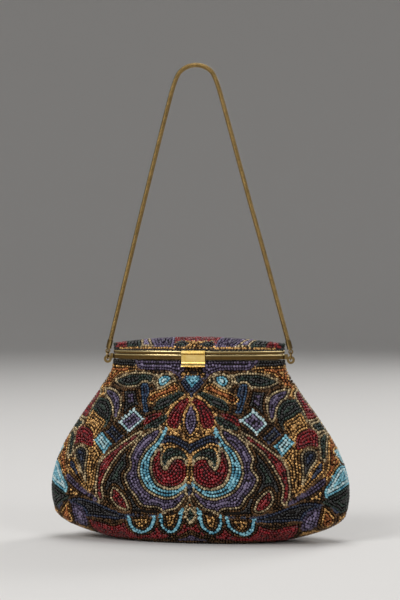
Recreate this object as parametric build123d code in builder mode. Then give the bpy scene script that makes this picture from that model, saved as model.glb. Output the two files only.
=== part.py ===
"""A beaded evening bag: a soft pouch in a gilt frame, with a domed lid on a back hinge,
a hinged clasp flap at the front and a snake chain swinging on two jump rings.

Millimetres. The floor is z = 0, +Z is up, +X is to the right and the clasp faces -Y.
"""

import math
import os

from build123d import *

# Pouch of beaded cloth
bag_width = 241.0
bag_depth = 80.0
pouch_height = 143.6
cloth_wall = 3.0
pleat_depth = 4.5
lining_wall = 0.8
lining_gap = 0.7
seat_gap = 0.3
relief_height = 0.9
seam_rows = 3.0

# Gilt frame round the mouth
mouth_length = 139.0
mouth_depth = 44.0
mouth_end_radius = 4.5
rail_height = 4.2
rail_thickness = 3.0
rail_edge_radius = 0.7
lip_thickness = 1.1
lip_height = 2.4
lip_gap = 0.15
parting_gap = 0.3

# Domed lid
lid_rail_height = 2.6
lid_rail_thickness = 2.6
lid_crown = 10.2
lid_edge_height = 1.2
lid_ridge_fall = 5.2
lid_setback = 0.5
lid_cover_wall = 2.2
lid_former_wall = 1.2
lid_lining_wall = 0.8
lid_edge_radius = 0.6
layer_gap = 0.2

# Back hinge
hinge_length = 36.0
knuckle_radius = 1.6
knuckle_gap = 0.3
hinge_pin_radius = 0.8
running_clearance = 0.06
leaf_thickness = 0.8
leaf_seat = 0.1

# Clasp
clasp_width = 18.8
clasp_bar_radius = 1.5
clasp_pin_radius = 0.5
flap_height = 9.6
flap_lip_height = 4.8
flap_lip_reach = 2.2
flap_thickness = 0.9
flap_hollow = 0.2
ear_thickness = 0.8
ear_gap = 0.15
catch_radius = 1.3
catch_length = 1.1
catch_dome = 0.4

# Lugs, jump rings and end caps
lug_reach = 4.8
lug_drop = 0.4
lug_radius = 3.2
lug_hole_radius = 1.3
lug_thickness = 1.4
lug_strap_width = 3.8
lug_strap_thickness = 2.4
ring_radius = 3.2
ring_wire_radius = 0.55
tab_radius = 2.0
tab_hole_radius = 0.95
tab_thickness = 1.2
cap_radius = 2.3
cap_neck_radius = 1.2
cap_length = 9.0
cap_bore_depth = 4.0
cap_band_height = 1.5
cap_groove = 0.35

# Snake chain, with its route in the plane y = 0 from one end cap to the other
chain_radius = 1.95
chain_route = [
    (-56.5, 222.0),
    (-40.5, 286.0),
    (-27.5, 337.0),
    (-18.6, 370.2),
    (-11.9, 377.1),
    (-2.6, 379.6),
    (6.8, 377.2),
    (13.6, 370.5),
    (23.5, 335.0),
    (39.5, 276.0),
    (56.5, 216.0),
]

# Each level of the pouch: its height, how far it has swelled from the mouth to the belly
# in width and in depth, how round its plan is, and how deep the pleats are. The base roll
# and the belly that hangs over it meet in a crease.
base_level_shares = [
    (0.000, -0.05, 0.25, 1.00, 0.0),
    (0.045, 0.44, 0.62, 1.00, 0.0),
    (0.090, 0.77, 0.80, 1.00, 0.0),
    (0.135, 0.93, 0.85, 0.95, 0.0),
    (0.174, 0.97, 0.76, 0.90, 0.0),
]
belly_level_shares = [
    (0.174, 0.97, 0.76, 0.90, 0.0),
    (0.223, 1.00, 0.95, 0.90, 0.0),
    (0.320, 1.00, 1.00, 0.85, 0.0),
    (0.500, 0.84, 0.92, 0.75, 0.2),
    (0.680, 0.53, 0.73, 0.60, 0.8),
    (0.850, 0.19, 0.48, 0.40, 1.0),
    (0.947, 0.03, 0.10, 0.15, 0.2),
    (1.000, 0.00, 0.00, 0.00, 0.0),
]
pleat_angle = 60
section_step = 10

# Outlines of the raised beadwork on the right half of a panel, as shares of half the bag's
# width and of the pouch's height. Each is repeated on the left half.
scroll_shares = [
    (0.20, 0.60), (0.26, 0.53), (0.33, 0.47), (0.36, 0.40), (0.34, 0.31), (0.27, 0.25), (0.18, 0.23),
    (0.09, 0.26), (0.06, 0.30), (0.13, 0.29), (0.20, 0.30), (0.26, 0.34), (0.28, 0.40), (0.25, 0.47),
    (0.21, 0.53),
]
comma_shares = [
    (0.22, 0.49), (0.24, 0.40), (0.21, 0.34), (0.15, 0.32), (0.09, 0.34), (0.07, 0.40), (0.11, 0.44),
    (0.15, 0.41), (0.19, 0.42),
]
band_shares = [
    (0.23, 0.63), (0.35, 0.58), (0.43, 0.48), (0.45, 0.36), (0.42, 0.28), (0.36, 0.215), (0.36, 0.26),
    (0.39, 0.31), (0.41, 0.38), (0.38, 0.48), (0.30, 0.55), (0.24, 0.59),
]
ribbon_shares = [
    (0.38, 0.61), (0.50, 0.54), (0.60, 0.45), (0.65, 0.36), (0.64, 0.23), (0.60, 0.24), (0.60, 0.34),
    (0.55, 0.43), (0.47, 0.51), (0.38, 0.58),
]
petal_shares = [(0.05, 0.78), (0.13, 0.73), (0.18, 0.65), (0.14, 0.62), (0.09, 0.64), (0.06, 0.70)]
diamond_shares = [(0.50, 0.66), (0.40, 0.73), (0.33, 0.67), (0.43, 0.60)]
bar_shares = [(0.31, 0.80), (0.20, 0.83), (0.09, 0.88), (0.06, 0.85), (0.14, 0.80), (0.30, 0.76)]
leaf_shares = [(0.49, 0.90), (0.40, 0.93), (0.28, 0.92), (0.20, 0.89), (0.30, 0.87), (0.42, 0.86)]
patch_shares = [(0.69, 0.51), (0.74, 0.57), (0.82, 0.56), (0.85, 0.49), (0.77, 0.48)]
lobe_shares = [(0.74, 0.44), (0.80, 0.46), (0.85, 0.42), (0.80, 0.34), (0.75, 0.27), (0.73, 0.34)]
round_relief_shares = [
    scroll_shares,
    comma_shares,
    band_shares,
    ribbon_shares,
    petal_shares,
    bar_shares,
    leaf_shares,
    patch_shares,
    lobe_shares,
]

# The levels of the frame and the lid, from the pouch upwards
rail_bottom = pouch_height + seat_gap
rail_top = rail_bottom + rail_height
lid_bottom = rail_top + parting_gap
lid_top = lid_bottom + lid_rail_height
lid_apex = lid_top + lid_crown
parting = (rail_top + lid_bottom) / 2
overrun = rail_height + lid_crown

mouth_half_length = mouth_length / 2
mouth_half_depth = mouth_depth / 2
mouth_end_centre = mouth_half_length - mouth_end_radius
mouth_bow_radius = (
    mouth_end_centre**2 + mouth_half_depth**2 - mouth_end_radius**2
) / (2 * (mouth_half_depth - mouth_end_radius))
mouth_bow_centre = mouth_bow_radius - mouth_half_depth


def mouth_reach(x):
    """Half depth of the mouth's outline at x."""
    join = mouth_end_centre * mouth_bow_radius / (mouth_bow_radius - mouth_end_radius)
    if abs(x) < join:
        return math.sqrt(mouth_bow_radius**2 - x**2) - mouth_bow_centre
    past_centre = min(abs(x) - mouth_end_centre, mouth_end_radius)
    return math.sqrt(mouth_end_radius**2 - past_centre**2)


def mouth_outline(inset):
    """Face of the bowed mouth: two long arcs joined by two small end arcs, set in by inset."""
    bow = mouth_bow_radius - inset
    end = mouth_end_radius - inset
    run = mouth_bow_radius - mouth_end_radius
    join_x = mouth_end_centre + end * mouth_end_centre / run
    join_y = end * mouth_bow_centre / run
    tip = mouth_end_centre + end
    front = bow - mouth_bow_centre
    with BuildSketch() as outline:
        with BuildLine():
            ThreePointArc((-join_x, -join_y), (0, -front), (join_x, -join_y))
            ThreePointArc((join_x, -join_y), (tip, 0), (join_x, join_y))
            ThreePointArc((join_x, join_y), (0, front), (-join_x, join_y))
            ThreePointArc((-join_x, join_y), (-tip, 0), (-join_x, -join_y))
        make_face()
    return outline.sketch


def mouth_ring(inset, width):
    """Flat ring that follows the mouth, from inset to inset + width."""
    with BuildSketch() as ring:
        add(mouth_outline(inset))
        add(mouth_outline(inset + width), mode=Mode.SUBTRACT)
    return ring.sketch


def front_section(inset, level):
    """Front half of the pouch's plan at one level, closed along the side seams."""
    height, swell, deepen, roundness, pleat = level
    half_width = mouth_half_length + (bag_width / 2 - mouth_half_length) * swell - inset
    half_depth = mouth_half_depth + (bag_depth / 2 - mouth_half_depth) * deepen - inset
    points = []
    for angle in range(0, 180 + section_step, section_step):
        across = math.cos(math.radians(angle))
        bow = mouth_reach(mouth_half_length * across) / mouth_half_depth
        out = half_depth * ((1 - roundness) * bow + roundness * math.sin(math.radians(angle)))
        if angle in (pleat_angle, 180 - pleat_angle):
            out -= pleat_depth * pleat
        points.append((half_width * across, -out))
    with BuildSketch(Plane.XY.offset(inset + (pouch_height - inset) * height)) as section:
        with BuildLine():
            Spline(*points)
            Line(points[-1], points[0])
        make_face()
    return section.sketch


def front_form(inset):
    """Solid of the pouch's front half, with its sides and its floor set in by inset."""
    with BuildPart() as form:
        loft([front_section(inset, level).face() for level in base_level_shares])
        loft([front_section(inset, level).face() for level in belly_level_shares])
    return form.part


def relief_outlines():
    """Faces of the raised motifs as seen from the front, the same on both halves."""
    with BuildSketch() as outlines:
        for shares in round_relief_shares:
            with BuildLine():
                Spline(*[(x * bag_width / 2, z * pouch_height) for x, z in shares], periodic=True)
            make_face()
        with BuildLine():
            Polyline(*[(x * bag_width / 2, z * pouch_height) for x, z in diamond_shares], close=True)
        make_face()
        mirror(about=Plane.YZ)
    return outlines.sketch


# Front and back panels of beaded cloth, joined down the sides, with raised beadwork outside
# and a lip for the frame
groove_wall = (rail_thickness - lip_thickness) / 2
panel_outside = front_form(0)
panel_inside = front_form(cloth_wall)
with BuildPart() as raised_beadwork:
    with BuildSketch(Plane.XZ):
        add(relief_outlines())
    extrude(amount=bag_depth)
    with BuildSketch(Plane.XZ):
        Rectangle(2 * bag_width, 2 * pouch_height)
    extrude(amount=seam_rows)
    with BuildSketch():
        Rectangle(2 * bag_width, 2 * bag_depth)
    extrude(amount=seam_rows)
    add(panel_outside, mode=Mode.INTERSECT)
with BuildPart() as front_panel:
    add(front_form(relief_height))
    add(raised_beadwork.part)
    add(panel_inside, mode=Mode.SUBTRACT)
    with BuildSketch(Plane.XY.offset(pouch_height - lip_height)) as lip:
        add(mouth_ring(groove_wall, lip_thickness))
        split(bisect_by=Plane.XZ, keep=Keep.TOP)
    extrude(amount=2 * lip_height + seat_gap)
with BuildPart() as back_panel:
    add(front_panel.part)
    mirror(about=Plane.XZ, mode=Mode.REPLACE)

# Satin lining, a thin bag inside the panels
lining_outside = front_form(cloth_wall + lining_gap)
lining_inside = front_form(cloth_wall + lining_gap + lining_wall)
with BuildPart() as lining:
    add(lining_outside)
    add(lining_inside, mode=Mode.SUBTRACT)
    mirror(about=Plane.XZ)

# Lower rail: a channel that takes the pouch's lip from below
with BuildPart() as mouth_frame:
    with BuildSketch(Plane.XY.offset(rail_bottom)):
        add(mouth_ring(0, rail_thickness))
    extrude(amount=rail_height)
    fillet(mouth_frame.edges().filter_by(Plane.XY), rail_edge_radius)
    with BuildSketch(Plane.XY.offset(rail_bottom)):
        add(mouth_ring(groove_wall - lip_gap, lip_thickness + 2 * lip_gap))
    extrude(amount=lip_height + lip_gap, mode=Mode.SUBTRACT)

# Upper rail, which carries the lid
with BuildPart() as lid_frame:
    with BuildSketch(Plane.XY.offset(lid_bottom)):
        add(mouth_ring(0, lid_rail_thickness))
    extrude(amount=lid_rail_height)
    fillet(lid_frame.edges().filter_by(Plane.XY), rail_edge_radius)

# Domed lid: a barrel whose ridge bows along the mouth, cut to the mouth's outline
dome_half_depth = mouth_half_depth - lid_setback
dome_half_length = mouth_half_length - lid_setback
dome_fall = lid_crown - lid_edge_height
dome_arc_radius = (dome_half_depth**2 + dome_fall**2) / (2 * dome_fall)
dome_axis_z = lid_apex - dome_arc_radius


def lid_dome(inset, bottom):
    """Solid under the lid's dome, set in by inset all round and cut flat at bottom."""
    end_height = lid_apex - lid_ridge_fall - inset
    left_end = (-dome_half_length, end_height)
    right_end = (dome_half_length, end_height)
    with BuildPart() as barrel:
        with BuildSketch(Plane.XZ):
            with BuildLine():
                ThreePointArc(left_end, (0, lid_apex - inset), right_end)
                Polyline(
                    right_end,
                    (dome_half_length, dome_axis_z),
                    (-dome_half_length, dome_axis_z),
                    left_end,
                )
            make_face()
        revolve(axis=Axis((0, 0, dome_axis_z), (1, 0, 0)))
    with BuildPart() as dome:
        with BuildSketch(Plane.XY.offset(bottom)):
            add(mouth_outline(lid_setback + inset))
        extrude(amount=overrun)
        add(barrel.part, mode=Mode.INTERSECT)
    return dome.part


former_inset = lid_cover_wall + layer_gap
former_bottom = lid_bottom + layer_gap + lid_lining_wall
cover_solid = lid_dome(0, lid_top)
cover_hollow = lid_dome(lid_cover_wall, lid_top)
with BuildPart() as lid_cover:
    add(cover_solid)
    add(cover_hollow, mode=Mode.SUBTRACT)
    dome_face = lid_cover.faces().sort_by(SortBy.AREA)[-1]
    fillet(dome_face.outer_wire().edges(), lid_edge_radius)
former_solid = lid_dome(former_inset, former_bottom)
former_hollow = lid_dome(former_inset + lid_former_wall, former_bottom)
with BuildPart() as lid_former:
    add(former_solid)
    add(former_hollow, mode=Mode.SUBTRACT)
with BuildPart() as lid_lining:
    with BuildSketch(Plane.XY.offset(lid_bottom + layer_gap)):
        add(mouth_outline(lid_setback + former_inset))
    extrude(amount=lid_lining_wall)

# Back hinge: two outer knuckles on the mouth frame, one between them on the lid, and a pin
hinge_y = mouth_half_depth + knuckle_gap + knuckle_radius
knuckle_length = (hinge_length - 2 * knuckle_gap) / 3
knuckle_pitch = knuckle_length + knuckle_gap
hinge_bore = hinge_pin_radius + running_clearance


def hinge_half(knuckle_places, leaf_length, leaf_bottom, leaf_top, web_bottom):
    """Leaf bent to the rail's back, with a knuckle and a web at each place along the pin."""
    with BuildPart() as half:
        with BuildSketch(Plane.XY.offset(leaf_bottom)):
            with Locations((0, mouth_half_depth)):
                Rectangle(leaf_length, mouth_half_depth)
            add(mouth_outline(-leaf_seat - leaf_thickness), mode=Mode.INTERSECT)
        extrude(amount=leaf_top - leaf_bottom)
        for place in knuckle_places:
            with BuildSketch(Plane.XY.offset(web_bottom)):
                with Locations((place, mouth_half_depth)):
                    Rectangle(
                        knuckle_length,
                        hinge_y - mouth_half_depth,
                        align=(Align.CENTER, Align.MIN),
                    )
            extrude(amount=knuckle_radius)
            with BuildSketch(Plane.YZ.offset(place - knuckle_length / 2)):
                with Locations((hinge_y, parting)):
                    Circle(knuckle_radius)
            extrude(amount=knuckle_length)
        with BuildSketch(Plane.XY.offset(rail_bottom)):
            add(mouth_outline(-leaf_seat))
        extrude(amount=overrun, mode=Mode.SUBTRACT)
        with BuildSketch(Plane.YZ.offset(-hinge_length)):
            with Locations((hinge_y, parting)):
                Circle(hinge_bore)
        extrude(amount=2 * hinge_length, mode=Mode.SUBTRACT)
    return half


hinge_leaf = hinge_half(
    [-knuckle_pitch, knuckle_pitch],
    hinge_length,
    rail_bottom,
    parting - knuckle_radius - knuckle_gap,
    parting - knuckle_radius - knuckle_gap,
)
lid_leaf = hinge_half([0], knuckle_length, parting, lid_top, parting)
with BuildPart() as hinge_pin:
    with BuildSketch(Plane.YZ.offset(-hinge_length / 2)):
        with Locations((hinge_y, parting)):
            Circle(hinge_pin_radius)
    extrude(amount=hinge_length)

# Clasp: a round bar on the lid's rail, and a flap that hangs from a pin through it
clasp_y = -(mouth_half_depth + leaf_seat + leaf_thickness + clasp_bar_radius - knuckle_gap)
clasp_z = lid_bottom + lid_rail_height / 2
bar_length = clasp_width - 2 * (ear_thickness + ear_gap)
with BuildPart() as clasp_bar:
    with BuildSketch(Plane.XY.offset(lid_bottom)):
        with Locations((0, -mouth_half_depth)):
            Rectangle(bar_length, mouth_half_depth)
        add(mouth_outline(-leaf_seat - leaf_thickness), mode=Mode.INTERSECT)
    extrude(amount=lid_rail_height)
    with BuildSketch(Plane.YZ.offset(-bar_length / 2)):
        with Locations((clasp_y, clasp_z)):
            Circle(clasp_bar_radius)
    extrude(amount=bar_length)
    with BuildSketch(Plane.XY.offset(rail_bottom)):
        add(mouth_outline(-leaf_seat))
    extrude(amount=overrun, mode=Mode.SUBTRACT)
    with BuildSketch(Plane.YZ.offset(-bar_length)):
        with Locations((clasp_y, clasp_z)):
            Circle(clasp_pin_radius + running_clearance)
    extrude(amount=2 * bar_length, mode=Mode.SUBTRACT)
with BuildPart() as clasp_pin:
    with BuildSketch(Plane.YZ.offset(-clasp_width / 2)):
        with Locations((clasp_y, clasp_z)):
            Circle(clasp_pin_radius)
    extrude(amount=clasp_width)

flap_top = clasp_z - clasp_bar_radius - seat_gap
flap_bend = flap_top - flap_height + flap_lip_height
flap_bottom = flap_top - flap_height
flap_front = clasp_y - flap_thickness / 2
flap_back = clasp_y + flap_thickness / 2
lip_mid = flap_bend - flap_lip_height / 2
with BuildPart() as clasp_flap:
    with BuildSketch(Plane.YZ.offset(-clasp_width / 2)):
        with BuildLine():
            Line((flap_back, flap_top), (flap_front, flap_top))
            Line((flap_front, flap_top), (flap_front + flap_hollow, flap_bend))
            ThreePointArc(
                (flap_front + flap_hollow, flap_bend),
                (flap_front, lip_mid),
                (flap_front - flap_lip_reach, flap_bottom),
            )
            Line(
                (flap_front - flap_lip_reach, flap_bottom),
                (flap_back - flap_lip_reach, flap_bottom),
            )
            ThreePointArc(
                (flap_back - flap_lip_reach, flap_bottom),
                (flap_back, lip_mid),
                (flap_back + flap_hollow, flap_bend),
            )
            Line((flap_back + flap_hollow, flap_bend), (flap_back, flap_top))
        make_face()
    extrude(amount=clasp_width)
    for ear in (-clasp_width / 2, clasp_width / 2 - ear_thickness):
        with BuildSketch(Plane.YZ.offset(ear)):
            with Locations((clasp_y, clasp_z)):
                Circle(clasp_bar_radius)
            with Locations((clasp_y, clasp_z)):
                Rectangle(
                    flap_thickness,
                    clasp_z - flap_top + flap_thickness,
                    align=(Align.CENTER, Align.MAX),
                )
            with Locations((clasp_y, clasp_z)):
                Circle(clasp_pin_radius + running_clearance, mode=Mode.SUBTRACT)
        extrude(amount=ear_thickness)

# Catch stud on the lower rail, behind the flap
catch_z = rail_bottom + rail_height / 2
with BuildPart() as catch_stud:
    with BuildSketch(Plane.XZ.offset(mouth_half_depth)):
        with Locations((0, catch_z)):
            Circle(catch_radius)
    extrude(amount=catch_length)
    fillet(catch_stud.faces().sort_by(Axis.Y)[0].edges(), catch_dome)

# Lugs at the frame's two ends, jump rings through their eyes, and the chain's end caps
lug_x = mouth_half_length + lug_reach
lug_z = rail_bottom - lug_drop
swing_z = lug_z + ring_radius
tab_z = swing_z + ring_radius
neck_bottom = (tab_hole_radius + tab_radius) / 2
cap_bottom = tab_radius + cap_groove
groove_bottom = cap_bottom + cap_band_height
cap_bore = chain_radius + running_clearance
pieces = {}
chain_ends = []
for side, name, neighbour in ((-1, "left", chain_route[0]), (1, "right", chain_route[-1])):
    strap_x = mouth_half_length + leaf_seat
    with BuildPart() as lug:
        with BuildSketch(Plane.XZ.offset(-lug_thickness / 2)):
            with Locations((side * lug_x, lug_z)):
                Circle(lug_radius)
        extrude(amount=lug_thickness)
        with Locations((side * strap_x, 0, rail_bottom)):
            Box(
                lug_strap_thickness,
                lug_strap_width,
                rail_height,
                align=(Align.MIN if side > 0 else Align.MAX, Align.CENTER, Align.MIN),
            )
        with BuildSketch(Plane.XZ.offset(-lug_thickness / 2)):
            with Locations((side * lug_x, lug_z)):
                Circle(lug_hole_radius)
        extrude(amount=lug_thickness, mode=Mode.SUBTRACT)
    with BuildPart() as jump_ring:
        with BuildSketch(Plane.XZ):
            with Locations((side * lug_x, tab_z)):
                Circle(ring_wire_radius)
        revolve(axis=Axis((side * lug_x, 0, swing_z), (1, 0, 0)))
    tab = Vector(side * lug_x, 0, tab_z)
    run = Vector(neighbour[0], 0, neighbour[1]) - tab
    cap_side = Plane(origin=tab, x_dir=(0, 1, 0), z_dir=Vector(0, 1, 0).cross(run))
    with BuildPart() as end_cap:
        with BuildSketch(cap_side):
            with BuildLine():
                Polyline(
                    (0, neck_bottom),
                    (cap_neck_radius, neck_bottom),
                    (cap_neck_radius, cap_bottom),
                    (cap_radius, cap_bottom),
                    (cap_radius, groove_bottom),
                    (cap_radius - cap_groove, groove_bottom),
                    (cap_radius - cap_groove, groove_bottom + cap_groove),
                    (cap_radius, groove_bottom + cap_groove),
                    (cap_radius, cap_length),
                    (cap_bore, cap_length),
                    (cap_bore, cap_length - cap_bore_depth),
                    (0, cap_length - cap_bore_depth),
                    close=True,
                )
            make_face()
        revolve(axis=Axis(tab, run))
        with BuildSketch(Plane(origin=tab, x_dir=(1, 0, 0), z_dir=(0, -1, 0))):
            Circle(tab_radius)
            Circle(tab_hole_radius, mode=Mode.SUBTRACT)
        extrude(amount=tab_thickness / 2, both=True)
    chain_ends.append(tab + run.normalized() * (cap_length - cap_bore_depth))
    pieces[f"{name}_lug"] = lug
    pieces[f"{name}_jump_ring"] = jump_ring
    pieces[f"{name}_end_cap"] = end_cap

# Snake chain: straight legs and tangent arcs round the point that it is lifted by
arc_share = 0.45
route = [chain_ends[0], *(Vector(x, 0, z) for x, z in chain_route), chain_ends[1]]
chain_bends = []
for before, corner, after in zip(route, route[1:], route[2:]):
    turn = (corner - before).get_angle(after - corner)
    shorter = min((corner - before).length, (after - corner).length)
    chain_bends.append(arc_share * shorter / math.tan(math.radians(turn) / 2))
with BuildPart() as snake_chain:
    with BuildLine():
        chain_path = FilletPolyline(*route, radius=chain_bends)
    chain_start = Plane(origin=chain_path @ 0, z_dir=chain_path % 0)
    with BuildSketch(chain_start):
        Circle(chain_radius)
    sweep()
chain_length = chain_path.length
print("chain length", round(chain_length, 1), "bends", [round(bend, 1) for bend in chain_bends])
print("tube", round(snake_chain.part.volume), "of", round(math.pi * chain_radius**2 * chain_length))

pieces |= {
    "front_panel": front_panel,
    "back_panel": back_panel,
    "lining": lining,
    "mouth_frame": mouth_frame,
    "hinge_leaf": hinge_leaf,
    "hinge_pin": hinge_pin,
    "catch_stud": catch_stud,
    "lid_frame": lid_frame,
    "lid_cover": lid_cover,
    "lid_former": lid_former,
    "lid_lining": lid_lining,
    "lid_leaf": lid_leaf,
    "clasp_bar": clasp_bar,
    "clasp_pin": clasp_pin,
    "clasp_flap": clasp_flap,
    "snake_chain": snake_chain,
}
os.makedirs("parts", exist_ok=True)
for name, piece in pieces.items():
    piece.part.label = name
    export_step(piece.part, f"parts/{name}.step")
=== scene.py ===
import math

import bpy
import numpy as np
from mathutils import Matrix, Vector
from mathutils.kdtree import KDTree


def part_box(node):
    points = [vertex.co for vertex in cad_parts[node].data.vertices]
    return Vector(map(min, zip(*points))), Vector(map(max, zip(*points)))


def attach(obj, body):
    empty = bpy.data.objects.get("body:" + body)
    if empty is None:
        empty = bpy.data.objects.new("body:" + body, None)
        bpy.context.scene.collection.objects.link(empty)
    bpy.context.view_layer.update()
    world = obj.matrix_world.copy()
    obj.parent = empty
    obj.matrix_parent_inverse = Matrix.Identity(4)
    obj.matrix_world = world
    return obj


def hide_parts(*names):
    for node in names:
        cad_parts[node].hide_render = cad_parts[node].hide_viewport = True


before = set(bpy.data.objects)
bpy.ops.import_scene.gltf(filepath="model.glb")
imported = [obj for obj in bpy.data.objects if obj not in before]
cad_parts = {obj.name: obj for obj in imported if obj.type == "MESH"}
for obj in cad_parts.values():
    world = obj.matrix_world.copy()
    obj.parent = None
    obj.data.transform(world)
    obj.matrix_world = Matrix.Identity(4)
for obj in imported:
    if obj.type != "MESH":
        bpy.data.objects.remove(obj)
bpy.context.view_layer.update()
scene = bpy.context.scene
scene.view_settings.view_transform = "Standard"
mm = 0.001

# Camera: a long lens, level, standing a little to the right of the bag's middle.
# Columns and rows of the picture are counted from its top left corner.
picture_width = 400
picture_height = 600
pixel = 0.8 * mm
middle_column = 198.5
camera_distance = 1300 * mm
camera_height = 191 * mm
camera_azimuth = math.radians(10)
sensor_width = 36
to_right = Vector((math.cos(camera_azimuth), math.sin(camera_azimuth), 0))
to_camera = Vector((math.sin(camera_azimuth), -math.cos(camera_azimuth), 0))
aim = to_right * (picture_width / 2 - middle_column) * pixel + Vector((0, 0, camera_height))
camera = bpy.data.objects.new("camera", bpy.data.cameras.new("camera"))
camera.data.sensor_width = sensor_width
camera.data.lens = sensor_width * camera_distance / (picture_height * pixel)
camera.location = aim + to_camera * camera_distance
camera.rotation_euler = (math.pi / 2, 0, camera_azimuth)
scene.collection.objects.link(camera)
scene.camera = camera


def picture_place(points):
    """Column and row of the picture at which each point of a grid is seen."""
    ray = points - np.array(camera.location)
    depth = -(ray @ np.array(to_camera)) * pixel / camera_distance
    column = picture_width / 2 + ray @ np.array(to_right) / depth
    row = picture_height / 2 - ray[..., 2] / depth
    return column, row


# Studio: a pale round cove whose floor runs up into its wall, lit by soft lamps from the
# front, from above and, less, from behind.
cove_radius = 8000 * mm
cove_bend = 3000 * mm
cove_wall = 5000 * mm
cove_middle = 1 * mm
cove_sides = 96
bend_steps = 12


def linear(hex_colour):
    """An sRGB hex value as linear red, green, blue and alpha."""
    parts = [int(hex_colour[i : i + 2], 16) / 255 for i in (1, 3, 5)]
    return [c / 12.92 if c <= 0.04045 else ((c + 0.055) / 1.055) ** 2.4 for c in parts] + [1]


def add_node(tree, kind, inputs=None, **settings):
    """Adds a node with its settings, and fills its inputs with values or links."""
    node = tree.nodes.new(kind)
    for name, value in settings.items():
        setattr(node, name, value)
    for name, value in (inputs or {}).items():
        if isinstance(value, bpy.types.NodeSocket):
            tree.links.new(value, node.inputs[name])
        else:
            node.inputs[name].default_value = value
    return node


def new_material(name):
    """An empty node material with its surface shader, as (material, tree, shader)."""
    material = bpy.data.materials.new(name)
    material.use_nodes = True
    tree = material.node_tree
    return material, tree, tree.nodes["Principled BSDF"]


def mesh_object(name, vertices, edges, faces, smooth=True):
    """A new object in the scene from lists of corners, edges and faces."""
    mesh = bpy.data.meshes.new(name)
    mesh.from_pydata(vertices, edges, faces)
    mesh.polygons.foreach_set("use_smooth", [smooth] * len(mesh.polygons))
    made = bpy.data.objects.new(name, mesh)
    scene.collection.objects.link(made)
    return made


def grid_faces(rows, columns, closed=False):
    """Quads between neighbouring rows of a grid of corners, closed round each row or not."""
    faces = []
    for r in range(rows - 1):
        for c in range(columns if closed else columns - 1):
            right = (c + 1) % columns
            low, high = r * columns, (r + 1) * columns
            faces.append((low + c, low + right, high + right, high + c))
    return faces


cove_profile = [(cove_middle, 0), (cove_radius - cove_bend, 0)]
for step in range(1, bend_steps + 1):
    turn = math.pi / 2 * step / bend_steps
    out = cove_radius - cove_bend + cove_bend * math.sin(turn)
    cove_profile.append((out, cove_bend * (1 - math.cos(turn))))
cove_profile.append((cove_radius, cove_wall))
cove_corners = []
for out, up in cove_profile:
    for side in range(cove_sides):
        turn = 2 * math.pi * side / cove_sides
        cove_corners.append((out * math.cos(turn), out * math.sin(turn), up))
cove = mesh_object("cove", cove_corners, [], grid_faces(len(cove_profile), cove_sides, closed=True))
# Matt wall paint, which takes soft shadows and shows no reflections
cove_paint, _, cove_shader = new_material("pale_matt_paint")
cove_shader.inputs["Base Color"].default_value = linear("#DCDAD7")
cove_shader.inputs["Roughness"].default_value = 0.9
cove.data.materials.append(cove_paint)

# Name, place and width in metres, watts
for lamp_name, place, size, power in (
    ("key_lamp", (-1.8, -2.4, 2.3), 1.4, 52),
    ("fill_lamp", (2.4, -1.9, 1.7), 1.4, 18),
    ("top_lamp", (0.1, 0.3, 2.9), 1.6, 36),
    ("front_lamp", (-0.4, -3.1, 0.9), 0.8, 9),
    ("back_lamp", (1.5, 2.7, 2.2), 1.4, 34),
):
    lamp = bpy.data.objects.new(lamp_name, bpy.data.lights.new(lamp_name, "AREA"))
    lamp.data.size = size
    lamp.data.energy = power
    lamp.location = place
    lamp.visible_camera = False
    lamp.rotation_euler = (aim - Vector(place)).to_track_quat("-Z", "Y").to_euler()
    scene.collection.objects.link(lamp)
world = bpy.data.worlds.new("studio")
world.use_nodes = True
world.node_tree.nodes["Background"].inputs["Color"].default_value = linear("#E6E6E8")
world.node_tree.nodes["Background"].inputs["Strength"].default_value = 0.25
scene.world = world

# Pouch: two panels of dark cloth sewn together down the sides and gathered into the frame.
# It swells to a belly that hangs in a crease over its rounded base. The cloth is plain
# under the beads, and shows as dark lines between their rows.
mouth_low, mouth_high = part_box("mouth_frame")
panel_low, panel_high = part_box("front_panel")
side_seam = 0.5 * mm
mouth_gap = 0.3 * mm
mouth_half_length = mouth_high.x
mouth_half_depth = mouth_high.y
belly_half_width = panel_high.x - side_seam
belly_half_depth = -panel_low.y
pouch_height = mouth_low.z - mouth_gap
mouth_end_radius = 4.5 * mm
mouth_end_centre = mouth_half_length - mouth_end_radius
mouth_bow_radius = (
    mouth_end_centre**2 + mouth_half_depth**2 - mouth_end_radius**2
) / (2 * (mouth_half_depth - mouth_end_radius))
mouth_bow_centre = mouth_bow_radius - mouth_half_depth
pleat_depth = 4.2 * mm
pleat_angles = np.radians([60, 120])
pleat_width = math.radians(6)
cloth_inset = 1.9 * mm
cloth_wall = 0.5 * mm
cloth_columns = 81
cloth_base_rows = 17
cloth_belly_rows = 45
cloth_floor_rows = 6
crease_share = 0.174
least_area = 1e-12
as_drawn = np.array([1, 1, 1])
left_to_right = np.array([-1, 1, 1])
front_to_back = np.array([1, -1, 1])
# Height, swell in width, swell in depth, roundness of the plan, depth of the pleats
base_level_shares = np.array([
    (0.000, -0.05, 0.25, 1.00, 0.0),
    (0.045, 0.44, 0.62, 1.00, 0.0),
    (0.090, 0.77, 0.80, 1.00, 0.0),
    (0.135, 0.93, 0.85, 0.95, 0.0),
    (crease_share, 0.97, 0.76, 0.90, 0.0),
])
belly_level_shares = np.array([
    (crease_share, 0.97, 0.76, 0.90, 0.0),
    (0.223, 1.00, 0.95, 0.90, 0.0),
    (0.320, 1.00, 1.00, 0.85, 0.0),
    (0.500, 0.84, 0.92, 0.75, 0.2),
    (0.680, 0.53, 0.73, 0.60, 0.8),
    (0.850, 0.19, 0.48, 0.40, 1.0),
    (0.947, 0.03, 0.10, 0.15, 0.2),
    (1.000, 0.00, 0.00, 0.00, 0.0),
])


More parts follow.
